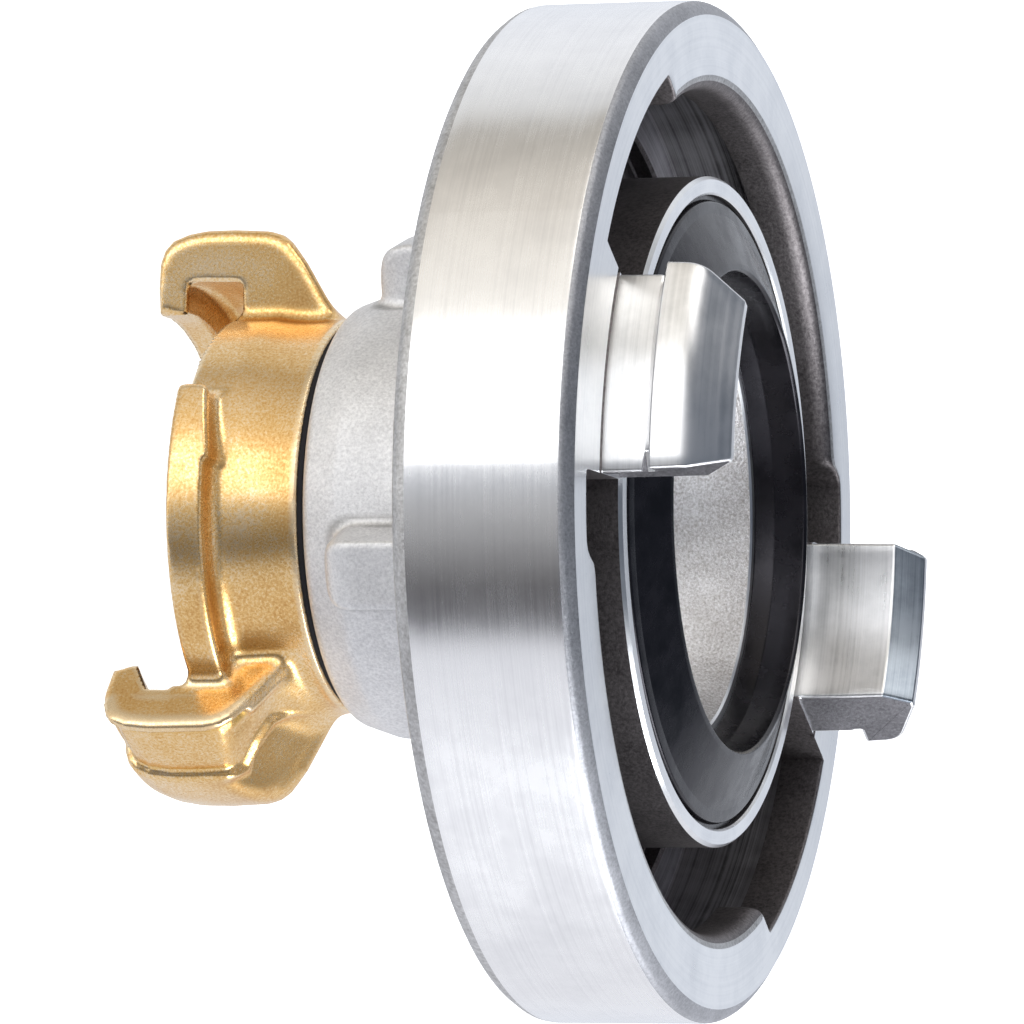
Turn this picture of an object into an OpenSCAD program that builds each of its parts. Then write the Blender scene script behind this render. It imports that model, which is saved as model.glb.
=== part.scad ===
// Hose coupling adapter, standing on its two claws with the lug face up.
// The axis of both couplings is Z and the floor under the claw tips is Z = 0.

/* [Ring] */
// Outside diameter of the turned ring
ring_d = 98; // [94:0.5:110]
// Width of the ring along the axis
ring_w = 17.2; // [16:0.1:22]
// Chamfer of the ring's front edge, measured along the radius
ring_front_chamfer_r = 1.4; // [0.5:0.1:2]
// Chamfer of the ring's front edge, measured along the axis
ring_front_chamfer_z = 1.2; // [0.5:0.1:2]
// Chamfer of the ring's back edge
ring_back_chamfer = 0.8; // [0.3:0.1:2]
// Thickness of the wall that joins the ring to the hub
back_wall_t = 4.6; // [3:0.1:6]
// Diameter of the groove behind the flange
groove_d = 87.8; // [86:0.1:90]
// Outside diameter of the deeper channel in the groove's floor
channel_d = 79.6; // [74:0.1:84]
// Depth of that channel
channel_depth = 2; // [0.5:0.1:2.6]
// Thickness of the flange that the lugs of the other half hook behind
flange_t = 4.3; // [3:0.1:4.8]
// Inside diameter of that flange
flange_d = 80.8; // [79:0.1:83]
// Bevel of the flange's inner edge
flange_bevel = 0.9; // [0.3:0.1:1.5]

/* [Lugs] */
// Distance between the inner faces of the two lugs
lug_spacing = 66; // [64.8:0.1:67]
// Radial thickness of a lug's shank
lug_shank_t = 6.2; // [4:0.1:6.8]
// How far the hook reaches out past the shank
lug_hook_reach = 2.1; // [1:0.1:2.4]
// Height of the hook's underside over the ring's face
lug_seat_h = 5; // [4.8:0.1:6]
// Height of the lug's tip over the ring's face
lug_h = 11.2; // [10:0.1:12.4]
// Height of the hook's flat outer side
lug_hook_side_h = 3.6; // [2:0.1:4]
// Height of the slope on the inner side of the tip
lug_inner_slope_h = 2.8; // [1:0.1:4]
// Width of the slope on the inner side of the tip
lug_inner_slope_w = 1.6; // [0.5:0.1:2.5]
// Angle that one lug covers
lug_angle = 29.2; // [24:0.1:32]
// Direction of the first lug's leading end
lug_start = -124.5; // [-126:0.1:-118]
// Angle of the open slot beside each lug
slot_angle = 35.5; // [33:0.1:42]
// Angle of the short recess on a lug's other side
recess_angle = 11.6; // [6:0.1:16]

/* [Sleeve and gasket seat] */
// Outside diameter of the sleeve in the middle of the ring
sleeve_d = 64.3; // [63:0.1:64.6]
// Wall of the sleeve at its rim
sleeve_rim_t = 1.75; // [1.2:0.05:2.5]
// How far the rim lies below the ring's face
rim_setback = 0.2; // [0:0.1:1]
// Depth of the seat for the gasket's foot, from the rim
foot_depth = 6.5; // [5:0.1:8]
// Radial width of the gasket's foot
foot_w = 3.4; // [2.5:0.1:4.5]
// Depth of the shoulder under the gasket's lip, from the rim
shoulder_depth = 2.7; // [2:0.1:4]
// Diameter of the chamber's mouth
chamber_d = 42.6; // [41:0.1:43.8]

/* [Gasket] */
// Diameter of the lip's crest
lip_d = 46.4; // [45.6:0.1:48]
// Height of the lip's crest over the rim
lip_h = 2.4; // [1:0.1:3.2]
// Smallest diameter of the gasket
gasket_bore_d = 44.4; // [43.9:0.1:45.2]
// Width of the gasket's rounded crest
crest_w = 0.5; // [0.3:0.1:0.9]

/* [Hub] */
// Outside diameter of the hub
hub_d = 43.3; // [42:0.1:46]
// Length of the hub behind the ring
hub_l = 18.65; // [16:0.05:24]
// Radius of the hub's rounded end
hub_round = 3.6; // [1:0.1:4.2]
// Number of spanner ribs on the hub
rib_count = 4; // [2:1:8]
// Width of a rib
rib_w = 7; // [5:0.1:9]
// Height of a rib over the hub
rib_h = 5.6; // [3:0.1:7]
// Length of a rib behind the ring
rib_l = 14.8; // [11:0.1:15]
// Radius of a rib's rounded back corner
rib_round = 3.7; // [1:0.1:4.5]
// Direction of the first rib
rib_start = -78; // [-90:1:0]

/* [Thread] */
// Pitch diameter of the pipe thread that joins the two couplings
thread_d = 31.77; // [29:0.01:33]
// Length of the threaded bore in the hub
thread_bore_l = 16; // [13:0.1:17]
// Length of the threaded tail
tail_l = 14.1; // [9:0.1:15.5]
// Chamfer of the thread's ends
thread_chamfer = 1; // [0.5:0.1:1.5]
// Thickness of the flat seal between the hub and the collar
thread_seal_t = 0.75; // [0.4:0.05:2]
// Outside diameter of the flat seal
thread_seal_d = 37.8; // [36:0.1:38.2]
// Gap between the flat seal's hole and the threaded tail
thread_seal_gap = 0.4; // [0.2:0.1:0.8]

/* [Claw coupling] */
// Diameter of the round collar
collar_d = 38.4; // [38.3:0.1:39.4]
// Length of the collar from its sealing face to its shoulder
collar_l = 12; // [11:0.1:16]
// Outside diameter of the two flange segments
segment_d = 44.4; // [43:0.1:45.4]
// Thickness of a flange segment
segment_t = 3.65; // [2.5:0.05:3.9]
// Extra thickness at the crest of a segment's ramp
ramp_rise = 0.45; // [0.2:0.05:1]
// Angle of the ramp at a segment's free end
ramp_angle = 21; // [12:1:26]
// Slope of the ramp
ramp_slope = 12; // [5:0.5:16]
// Angle that one flange segment covers
segment_angle = 81; // [70:1:84]
// Diameter of the water bore
bore_d = 24; // [20:0.1:26]
// Diameter of the recess for the claw seal
seal_recess_d = 33.2; // [31:0.1:34]
// Depth of the recess for the claw seal
seal_recess_depth = 3.2; // [2:0.1:5]
// How far the claw seal stands out of its recess
seal_proud = 1.2; // [0.5:0.1:2]

/* [Claws] */
// Distance between the tips of the two hooks
claw_spacing = 40; // [39.6:0.1:41]
// Radial depth of the notch behind a hook
notch_depth = 3.1; // [2.8:0.1:3.4]
// Radial thickness of a claw's arm
arm_t = 5; // [4:0.1:6]
// Reach of the claws in front of the sealing face
claw_reach = 8.6; // [8:0.1:10]
// Thickness of a hook along the axis
hook_t = 3.15; // [2.5:0.05:3.6]
// Radius of the hook's rounded front corner
claw_round = 3.6; // [1:0.1:4.5]
// Angle that one claw covers
claw_angle = 45; // [38:1:48]
// Angle of the web at a claw's stop end
web_angle = 11; // [8:1:14]
// Depth of the hollow in a claw's back
hollow_depth = 1.6; // [0.8:0.1:2.2]

/* [Hidden] */
$fn = 128;

// Heights from the floor up
seal_face_z = claw_reach;
segment_back_z = seal_face_z + segment_t;
shoulder_z = seal_face_z + collar_l;
hub_z = shoulder_z + thread_seal_t;
ring_back_z = hub_z + hub_l;
face_z = ring_back_z + ring_w;
rim_z = face_z - rim_setback;
groove_floor_z = ring_back_z + back_wall_t;
flange_back_z = face_z - flange_t;
foot_z = rim_z - foot_depth;
lip_seat_z = rim_z - shoulder_depth;
thread_top_z = hub_z + thread_bore_l;
tail_top_z = shoulder_z + tail_l;

// Radii
ring_r = ring_d / 2;
groove_r = groove_d / 2;
channel_r = channel_d / 2;
flange_r = flange_d / 2;
lug_r = lug_spacing / 2;
lug_shank_r = lug_r + lug_shank_t;
lug_hook_r = lug_shank_r + lug_hook_reach;
sleeve_r = sleeve_d / 2;
rim_r = sleeve_r - sleeve_rim_t;
foot_r = rim_r - foot_w;
chamber_r = chamber_d / 2;
hub_r = hub_d / 2;
thread_r = thread_d / 2;
collar_r = collar_d / 2;
segment_r = segment_d / 2;
bore_r = bore_d / 2;
recess_r = seal_recess_d / 2;
claw_tip_r = claw_spacing / 2;
notch_r = claw_tip_r + notch_depth;
claw_r = notch_r + arm_t;
rib_r = hub_r + rib_h;

// Small sizes that belong to one feature each
cut = 1;                   // how far a cutting solid runs past what it cuts
merge = 2;                 // how far a solid reaches into the one that carries it
neck_drop = 1.1;           // thread's core below the threaded bore, at the chamber's narrow end
lug_tip_flat = 0.7;        // width of the flat on a lug's tip
lug_root = 1;              // how far a lug reaches into the wall below the channel
lug_edge = 0.4;            // break of the hook's outer front edge
gasket_step = 0.4;         // drop of the gasket's outer edge below the rim
// Chamber wall from the neck to its mouth, as shares of its widening and of its height
chamber_curve = [[0, 0.06], [0, 0.13], [0.3, 0.32], [0.6, 0.54], [0.86, 0.77], [1, 1]];
tail_relief = 0.9;         // depth of the run-out behind the threaded tail
tail_relief_l = 1.8;       // length of that run-out
seal_clear = 0.1;          // gap round the claw seal
claw_back_drop = 7.8;      // height of a claw's sloping back, up to where it ends in the collar
claw_back_top = 0.2;       // how far that end lies below the collar's shoulder
claw_back_edge = 0.6;      // break between a claw's outer side and its back
web_front_drop = 0.3;      // how far the web's front lies behind the sealing face
claw_sink = 0.3;           // how far a claw's inner end reaches below the back of the flange segment
arm_step = 0.3;            // how much thicker a claw's arm is beside the flange than at its notch
segment_setback = 0.1;     // how far a segment's front lies behind the sealing face
ramp_crest = 1.5;          // angle of the flat crest between a segment's ramp and its step
segment_tuck = 1.5;        // angle by which a flange segment runs under its claw
hollow_side = 6;           // angle of solid metal beside the hollow, at the claw's free end

// Corner of a polygon rounded with radius r about (cx, cy), from angle a0 to a1
function arc(cx, cy, r, a0, a1, steps = 8) =
    [for (i = [0:steps]) let (a = a0 + (a1 - a0) * i / steps) [cx + r * cos(a), cy + r * sin(a)]];

module turned(points) {
    rotate_extrude() polygon(points);
}

// A turned section that covers only the angle sweep, from start
module sector(start, sweep, points) {
    rotate([0, 0, start]) rotate_extrude(angle = sweep) polygon(points);
}

module twice() {
    for (turn = [0, 180]) rotate([0, 0, turn]) children();
}

// Ring, back wall, sleeve and hub in one turned section
module body_shell() {
    neck_r = thread_r - neck_drop;
    chamber = [
        for (point = chamber_curve)
            [neck_r + (chamber_r - neck_r) * point[0], thread_top_z + (lip_seat_z - thread_top_z) * point[1]]
    ];
    turned(concat(
        [[thread_r + thread_chamfer, hub_z]],
        arc(hub_r - hub_round, hub_z + hub_round, hub_round, -66, 0),
        [
            [hub_r, ring_back_z],
            [ring_r - ring_back_chamfer, ring_back_z],
            [ring_r, ring_back_z + ring_back_chamfer],
            [ring_r, face_z - ring_front_chamfer_z],
            [ring_r - ring_front_chamfer_r, face_z],
            [flange_r + flange_bevel, face_z],
            [flange_r, face_z - flange_bevel],
            [flange_r, flange_back_z],
            [groove_r, flange_back_z],
            [groove_r, groove_floor_z],
            [channel_r, groove_floor_z],
            [channel_r, groove_floor_z - channel_depth],
            [sleeve_r, groove_floor_z - channel_depth],
            [sleeve_r, rim_z],
            [rim_r, rim_z],
            [rim_r, foot_z],
            [foot_r, foot_z],
            [foot_r, lip_seat_z]
        ],
        [for (i = [len(chamber) - 1:-1:0]) chamber[i]],
        [
            [thread_r, thread_top_z],
            [thread_r, hub_z + thread_chamfer]
        ]
    ));
}

module lug() {
    sector(lug_start, lug_angle, [
        [lug_r, groove_floor_z - channel_depth - lug_root],
        [lug_r, face_z + lug_h - lug_inner_slope_h],
        [lug_r + lug_inner_slope_w, face_z + lug_h],
        [lug_r + lug_inner_slope_w + lug_tip_flat, face_z + lug_h],
        [lug_hook_r - lug_edge, face_z + lug_seat_h + lug_hook_side_h + lug_edge],
        [lug_hook_r, face_z + lug_seat_h + lug_hook_side_h],
        [lug_hook_r, face_z + lug_seat_h],
        [lug_shank_r, face_z + lug_seat_h],
        [lug_shank_r, face_z],
        [groove_r + merge, face_z],
        [groove_r + merge, groove_floor_z - channel_depth - lug_root]
    ]);
}

// Opens the flange from its inner edge out to the groove's wall
module flange_gap(start, sweep) {
    sector(start, sweep, [
        [flange_r - cut, flange_back_z],
        [groove_r, flange_back_z],
        [groove_r, face_z + cut],
        [flange_r - cut, face_z + cut]
    ]);
}

module spanner_rib() {
    rotate([90, 0, 0]) linear_extrude(height = rib_w, center = true) union() {
        translate([hub_r - merge, ring_back_z - rib_l]) square([rib_h + merge - rib_round, rib_l + merge]);
        translate([hub_r - merge, ring_back_z - rib_l + rib_round])
            square([rib_h + merge, rib_l + merge - rib_round]);
        translate([rib_r - rib_round, ring_back_z - rib_l + rib_round]) circle(r = rib_round);
    }
}

module coupling_body() {
    color("silver") union() {
        difference() {
            body_shell();
            twice() flange_gap(lug_start - slot_angle, slot_angle + lug_angle + recess_angle);
        }
        twice() lug();
        for (i = [0:rib_count - 1]) rotate([0, 0, rib_start + 360 / rib_count * i]) spanner_rib();
    }
}

// Moulded seal with a foot in the seat and a lip that rises to the crest
module main_gasket() {
    lip_r = lip_d / 2;
    gasket_bore_r = gasket_bore_d / 2;
    color("#26272a") turned([
        [foot_r, foot_z],
        [rim_r, foot_z],
        [rim_r, rim_z - gasket_step],
        [rim_r - gasket_step, rim_z],
        [lip_r + crest_w, rim_z + lip_h],
        [lip_r, rim_z + lip_h - crest_w / 2],
        [lip_r - crest_w, rim_z + lip_h / 2],
        [lip_r - crest_w / 2, rim_z - shoulder_depth / 3],
        [gasket_bore_r, lip_seat_z],
        [foot_r, lip_seat_z]
    ]);
}

// Section of a claw with its web
claw_section = concat(
    [
        [collar_r - merge, seal_face_z + web_front_drop],
        [notch_r, seal_face_z + web_front_drop],
        [notch_r, hook_t],
        [claw_tip_r, hook_t],
        [claw_tip_r, 0]
    ],
    arc(claw_r - claw_round, claw_round, claw_round, -90, 0),
    [
        [claw_r, shoulder_z - claw_back_top - claw_back_drop + claw_back_edge],
        [claw_r - claw_back_edge, shoulder_z - claw_back_top - claw_back_drop + 2 * claw_back_edge],
        [collar_r - merge, shoulder_z - claw_back_top]
    ]
);

// Hollow in the sloping back of a claw
module claw_hollow() {
    low = [claw_r - 1.2, shoulder_z - claw_back_top - claw_back_drop + 0.9];
    high = [collar_r + 1.6, shoulder_z - claw_back_top - 1.7];
    sector(hollow_side, claw_angle - web_angle - hollow_side, [
        low,
        low + [3, 3],
        high + [3, 3],
        high,
        high - [0, hollow_depth],
        low - [hollow_depth, hollow_depth / 2]
    ]);
}

// The stop end of the first claw lies at direction 0
module claw() {
    rotate([0, 0, -claw_angle]) difference() {
        sector(0, claw_angle, claw_section);
        claw_hollow();
        sector(-cut, claw_angle - web_angle + cut, [
            [collar_r - merge - cut, seal_face_z - cut],
            [notch_r - arm_step, seal_face_z - cut],
            [notch_r - arm_step, segment_back_z - claw_sink],
            [collar_r - merge - cut, segment_back_z - claw_sink]
        ]);
    }
}

// One flange segment with its ramp, from the claw's free end round to the open gap
module flange_segment() {
    free_end = -claw_angle - segment_angle;
    crest_z = segment_back_z + ramp_rise;
    front_z = seal_face_z + segment_setback;
    difference() {
        sector(free_end, segment_angle + segment_tuck, [
            [collar_r - merge, front_z],
            [segment_r, front_z],
            [segment_r, crest_z],
            [collar_r - merge, crest_z]
        ]);
        sector(free_end + ramp_angle, segment_angle, [
            [collar_r - merge - cut, segment_back_z],
            [segment_r + cut, segment_back_z],
            [segment_r + cut, crest_z + cut],
            [collar_r - merge - cut, crest_z + cut]
        ]);
        rotate([0, 0, free_end + ramp_angle - ramp_crest]) translate([0, 0, crest_z])
            rotate([ramp_slope, 0, 0]) translate([0, -2 * segment_r, 0]) cube([2 * segment_r, 2 * segment_r, segment_r]);
    }
}

module claw_coupling() {
    color("goldenrod") difference() {
        union() {
            turned([
                [bore_r, seal_face_z],
                [collar_r, seal_face_z],
                [collar_r, shoulder_z],
                [thread_r - tail_relief, shoulder_z],
                [thread_r - tail_relief, shoulder_z + tail_relief_l],
                [thread_r, shoulder_z + tail_relief_l + tail_relief],
                [thread_r, tail_top_z - thread_chamfer],
                [thread_r - thread_chamfer, tail_top_z],
                [bore_r, tail_top_z]
            ]);
            twice() claw();
            twice() flange_segment();
        }
        turned([
            [bore_r - cut, seal_face_z - cut],
            [recess_r, seal_face_z - cut],
            [recess_r, seal_face_z + seal_recess_depth],
            [bore_r - cut, seal_face_z + seal_recess_depth]
        ]);
    }
}

module claw_seal() {
    seal_r = recess_r - seal_clear;
    color("#1f1f21") turned([
        [bore_r, seal_face_z + seal_recess_depth],
        [bore_r + crest_w, seal_face_z - seal_proud + crest_w],
        [bore_r + 2 * crest_w, seal_face_z - seal_proud],
        [seal_r - 2 * crest_w, seal_face_z - seal_proud],
        [seal_r - crest_w, seal_face_z - seal_proud + crest_w],
        [seal_r, seal_face_z + seal_recess_depth]
    ]);
}

module thread_seal() {
    color("#2b2622") turned([
        [thread_r + thread_seal_gap, shoulder_z],
        [thread_seal_d / 2, shoulder_z],
        [thread_seal_d / 2, hub_z],
        [thread_r + thread_seal_gap, hub_z]
    ]);
}

coupling_body();
main_gasket();
claw_coupling();
claw_seal();
thread_seal();
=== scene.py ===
"""Looks of the hose coupling adapter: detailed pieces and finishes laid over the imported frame.

All shapes are written in millimetres in the frame's own axes and turned to metres when a mesh is made.
The axis of the coupling is Z and the claws stand on Z = 0. Angles are degrees round Z.
"""

import math

import bmesh
import bpy
import numpy as np
from mathutils import Matrix, Vector


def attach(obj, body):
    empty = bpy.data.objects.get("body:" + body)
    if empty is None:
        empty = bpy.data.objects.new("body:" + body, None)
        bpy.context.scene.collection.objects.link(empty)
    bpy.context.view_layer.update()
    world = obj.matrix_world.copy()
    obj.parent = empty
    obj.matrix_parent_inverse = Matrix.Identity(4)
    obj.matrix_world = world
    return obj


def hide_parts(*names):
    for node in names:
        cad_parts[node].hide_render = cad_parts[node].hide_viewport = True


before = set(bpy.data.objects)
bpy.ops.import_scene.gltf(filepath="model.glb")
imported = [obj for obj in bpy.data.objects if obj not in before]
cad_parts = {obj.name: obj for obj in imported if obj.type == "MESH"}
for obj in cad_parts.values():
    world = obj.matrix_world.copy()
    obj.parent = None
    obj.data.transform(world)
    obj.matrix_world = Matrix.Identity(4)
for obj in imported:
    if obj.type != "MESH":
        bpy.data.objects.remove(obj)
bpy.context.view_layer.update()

MM = 0.001
HALF_TURN = 180

# Heights along the axis
SEAL_FACE = 8.6
SEAL_BED = 11.8
SEGMENT_BACK = 12.25
SHOULDER = 20.6
HUB_END = 21.35
RING_BACK = 40.0
CHANNEL_FLOOR = 42.6
SLOT_FLOOR = 44.0
GROOVE_FLOOR = 44.6
SEAT_FLOOR = 50.5
FLANGE_BACK = 52.9
LIP_SEAT = 54.3
RIM = 57.0
FACE = 57.2

# Radii
BORE = 12.0
THREAD = 15.885
RECESS = 16.6
COLLAR = 19.2
CHAMBER = 21.25
HUB = 21.65
SEGMENT = 22.2
FOOT = 27.0
SEAT = 30.4
SLEEVE = 32.15
LUG_INNER = 33.0
LUG_SHANK = 39.2
CHANNEL = 39.8
FLANGE = 40.4
LUG_HOOK = 41.3
GROOVE = 43.9
RING = 49.0

# Other sizes
LUG_START = -124.5
LUG_END = -95.3
LUG_HEIGHT = 11.2
THREAD_PITCH = 2.309
CLAW_ANGLE = 45


# Shapes

def rounded(corners, steps=4):
    """Outline through corners (r, z, radius), with an arc in each corner that has a radius."""
    outline = []
    count = len(corners)
    for i, (x, y, radius) in enumerate(corners):
        here = np.array([x, y], float)
        if radius <= 0:
            outline.append(here)
            continue
        before = np.array(corners[i - 1][:2], float) - here
        after = np.array(corners[(i + 1) % count][:2], float) - here
        before_length, after_length = np.linalg.norm(before), np.linalg.norm(after)
        before, after = before / before_length, after / after_length
        half = math.acos(max(-1.0, min(1.0, float(before @ after)))) / 2
        # An arc takes at most this share of each side, so that the arcs at its two ends never meet
        longest = 0.48
        reach = min(radius / math.tan(half), longest * before_length, longest * after_length)
        radius = reach * math.tan(half)
        middle = here + (before + after) / np.linalg.norm(before + after) * radius / math.sin(half)
        first, last = here + before * reach - middle, here + after * reach - middle
        start, end = math.atan2(first[1], first[0]), math.atan2(last[1], last[0])
        turn = (end - start + math.pi) % (2 * math.pi) - math.pi
        for k in range(steps + 1):
            angle = start + turn * k / steps
            outline.append(middle + radius * np.array([math.cos(angle), math.sin(angle)]))
    return np.array(outline)


def place(radius, angle, z):
    """Points in the frame from polar ones, with angles in degrees."""
    a = np.radians(angle)
    return np.stack([radius * np.cos(a), radius * np.sin(a), z + 0 * radius], axis=-1)


def spin(axis, angle):
    """Rotation about the x, y or z axis, given as 0, 1 or 2, by an angle in radians."""
    matrix = np.eye(3)
    i, j = (axis + 1) % 3, (axis + 2) % 3
    matrix[i, i] = matrix[j, j] = math.cos(angle)
    matrix[i, j], matrix[j, i] = -math.sin(angle), math.sin(angle)
    return matrix


def stitch(columns, closed_round, finishes):
    """A skin drawn over a row of closed point columns, with one finish for each side of a column.

    A skin is its vertices, its faces and the finish of each face."""
    rows, count = len(columns), len(columns[0])
    faces, face_finishes = [], []
    for i in range(rows if closed_round else rows - 1):
        j = (i + 1) % rows
        for k in range(count):
            m = (k + 1) % count
            faces.append((i * count + k, j * count + k, j * count + m, i * count + m))
            face_finishes.append(finishes[k])
    return np.concatenate(columns), faces, face_finishes


def turned_skin(outline, finishes, steps=240):
    """A closed section turned once round the axis, with one finish for each of its sides."""
    columns = [place(outline[:, 0], 360 * i / steps, outline[:, 1]) for i in range(steps)]
    return stitch(columns, True, finishes)


def shrunk(outline, depth):
    """The outline moved inwards by depth. The outline runs anticlockwise."""
    before = outline - np.roll(outline, 1, axis=0)
    after = np.roll(outline, -1, axis=0) - outline
    sides = []
    for side in (before, after):
        length = np.linalg.norm(side, axis=1, keepdims=True)
        side = side / np.maximum(length, 1e-9)
        sides.append(np.stack([-side[:, 1], side[:, 0]], axis=1))
    middle = sides[0] + sides[1]
    middle /= np.maximum(np.linalg.norm(middle, axis=1, keepdims=True), 1e-9)
    lean = np.clip((middle * sides[0]).sum(axis=1, keepdims=True), 0.5, 1)
    return outline + middle * depth / lean


def swept_skin(outline, start, end, edge, start_cut, end_cut, finishes, end_finish, step=1.5):
    """A section swept from start to end, with end edges rounded by the radius edge.

    A cut function gives, for radius and height, how far the end stands back there, in millimetres.
    The swept sides take one finish each, and both ends take end_finish."""
    def end_row(cut, lean):
        """The section where the end edge has turned by lean, and how many degrees it stands back."""
        section = shrunk(outline, edge * (1 - math.sin(lean)))
        back = edge * (1 - math.cos(lean)) + cut(section[:, 0], section[:, 1])
        return section, np.degrees(np.arcsin(back / section[:, 0]))

    leans = [math.radians(90 * k / 4) for k in range(5)]
    first = [(section, start + back) for section, back in [end_row(start_cut, lean) for lean in leans]]
    last = [(section, end - back) for section, back in [end_row(end_cut, lean) for lean in leans[::-1]]]
    low, high = first[-1][1], last[0][1]
    count = max(2, int((end - start) / step))
    between = [(outline, low + (high - low) * i / count) for i in range(1, count)]
    columns = [place(section[:, 0], angle, section[:, 1]) for section, angle in first + between + last]
    verts, faces, face_finishes = stitch(columns, False, finishes)
    corners = range(len(outline))
    faces += [tuple(corners), tuple(len(verts) - 1 - k for k in corners)]
    return verts, faces, face_finishes + [end_finish, end_finish]


def doubled(skin):
    """The skin together with its copy turned by half a turn about the axis."""
    verts, faces, finishes = skin
    copy = verts @ spin(2, math.radians(HALF_TURN)).T
    copied_faces = [tuple(k + len(verts) for k in face) for face in faces]
    return np.concatenate([verts, copy]), faces + copied_faces, finishes + finishes


def make_piece(name, skin, slot, node, sharp=32, hollows=None):
    """A mesh object in metres that rides with the frame and stands for a CAD node.

    Edges that fold by more than sharp degrees stay crisp. Hollows gives a forged skin its relief, which
    its finishes use for painted shade in hollows and paler worn edges."""
    verts, faces, finishes = skin
    mesh = bpy.data.meshes.new(name)
    mesh.from_pydata([tuple(float(c) * MM for c in v) for v in verts], [], faces)
    materials = list(dict.fromkeys(finishes))
    for material in materials:
        mesh.materials.append(material)
    mesh.polygons.foreach_set("material_index", [materials.index(finish) for finish in finishes])
    if hollows is not None:
        relief_layer = mesh.attributes.new("relief", "FLOAT", "POINT")
        relief_layer.data.foreach_set("value", np.asarray(hollows, np.float32))
    shape = bmesh.new()
    shape.from_mesh(mesh)
    if hollows is None:
        bmesh.ops.remove_doubles(shape, verts=shape.verts, dist=0.002 * MM)
        bmesh.ops.dissolve_degenerate(shape, edges=shape.edges, dist=0.001 * MM)
    bmesh.ops.recalc_face_normals(shape, faces=shape.faces)
    for face in shape.faces:
        face.smooth = True
    for edge in shape.edges:
        edge.smooth = edge.calc_face_angle(0.0) < math.radians(sharp)
    shape.to_mesh(mesh)
    shape.free()
    piece = bpy.data.objects.new(name, mesh)
    bpy.context.scene.collection.objects.link(piece)
    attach(piece, "root")
    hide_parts(node)
    return piece


# Forged shapes from distance fields

def outline_distance(corners, x, y):
    """Signed distance of points to a closed outline, negative inside."""
    corners = np.asarray(corners, np.float32)
    best = np.full(x.shape, 1e9, np.float32)
    sign = np.ones(x.shape, np.float32)
    for i in range(len(corners)):
        ax, ay = corners[i]
        bx, by = corners[i - 1]
        ex, ey = bx - ax, by - ay
        wx, wy = x - ax, y - ay
        along = np.clip((wx * ex + wy * ey) / (ex * ex + ey * ey), 0, 1)
        best = np.minimum(best, (wx - ex * along) ** 2 + (wy - ey * along) ** 2)
        over, under, left = y >= ay, y < by, ex * wy > ey * wx
        sign = np.where((over & under & left) | (~over & ~under & ~left), -sign, sign)
    return sign * np.sqrt(best)


def join(a, b, radius):
    """Union of two distances with a fillet of that radius."""
    blend = np.maximum(radius - np.abs(a - b), 0) / radius
    return np.minimum(a, b) - blend * blend * radius / 4


def meet(a, b, radius):
    """Intersection of two distances with a rounded edge."""
    return -join(-a, -b, radius)


def carve(a, b, radius):
    """What is left of a after b is cut away, with rounded edges."""
    return -join(-a, b, radius)


def cell_corners(at, others):
    """The four cells round a crossed edge, in turn: at is the edge's lower end on the grid."""
    for da, db in ((0, 0), (1, 0), (1, 1), (0, 1)):
        cell = at + 1
        cell[:, others[0]] -= da
        cell[:, others[1]] -= db
        yield tuple(cell.T)


def forged_skin(field, low, high, step, finish):
    """Skin of a distance field by surface nets, each vertex then moved onto the surface."""
    # The field is worked out for this many planes of the grid at a time, to spare memory
    slab = 16
    axes = [np.arange(low[i], high[i] + step, step, dtype=np.float32) for i in range(3)]
    value = np.concatenate([
        field(*np.meshgrid(axes[0][i:i + slab], axes[1], axes[2], indexing="ij"))
        for i in range(0, len(axes[0]), slab)
    ])
    inside = value < 0
    shape = np.array(value.shape)
    total = np.zeros((*(shape + 1), 3), np.float32)
    hits = np.zeros(shape + 1, np.float32)
    crossings = []
    for axis in range(3):
        lower = [slice(None)] * 3
        upper = [slice(None)] * 3
        lower[axis], upper[axis] = slice(0, -1), slice(1, None)
        at = np.argwhere(inside[tuple(lower)] != inside[tuple(upper)])
        step_along = np.eye(3, dtype=int)[axis]
        first, second = value[tuple(at.T)], value[tuple((at + step_along).T)]
        point = at.astype(np.float32)
        point[:, axis] += first / (first - second)
        others = [i for i in range(3) if i != axis]
        for cell in cell_corners(at, others):
            np.add.at(total, cell, point)
            np.add.at(hits, cell, 1)
        crossings.append((at, others))
    used = np.argwhere(hits > 0)
    number = np.full(shape + 1, -1)
    number[tuple(used.T)] = np.arange(len(used))
    verts = total[tuple(used.T)] / hits[tuple(used.T)][:, None] * step + np.array(low, np.float32)
    faces = np.concatenate([
        np.stack([number[cell] for cell in cell_corners(at, others)], axis=1) for at, others in crossings
    ])
    for _ in range(3):
        verts = verts - slope_step(field, verts)
    return verts, faces.tolist(), [finish] * len(faces)


def slope(field, points, reach):
    """Gradient of a distance field at points."""
    sides = []
    for axis in range(3):
        shift = np.zeros(3, np.float32)
        shift[axis] = reach
        ahead, behind = points + shift, points - shift
        sides.append((field(*ahead.T) - field(*behind.T)) / (2 * reach))
    return np.stack(sides, axis=1)


def slope_step(field, points):
    """The move that brings points onto the surface, held to a short one."""
    reach, flattest, longest = 0.05, 0.2, 0.15
    gradient = slope(field, points, reach)
    size = np.maximum((gradient ** 2).sum(axis=1, keepdims=True), flattest)
    return np.clip(field(*points.T)[:, None] * gradient / size, -longest, longest)


def relief(field, points, reach):
    """How each point lies: towards 1 in a tight hollow, 0 on flat metal, towards -1 on a raised edge."""
    gradient = slope(field, points, 0.1)
    gradient /= np.maximum(np.linalg.norm(gradient, axis=1, keepdims=True), 1e-6)
    outside = field(*(points + gradient * reach).T) / reach
    under = field(*(points - gradient * reach).T) / reach
    return np.clip(1 - outside, 0, 1) - np.clip(1 + under, 0, 1)


# Finishes

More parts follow.
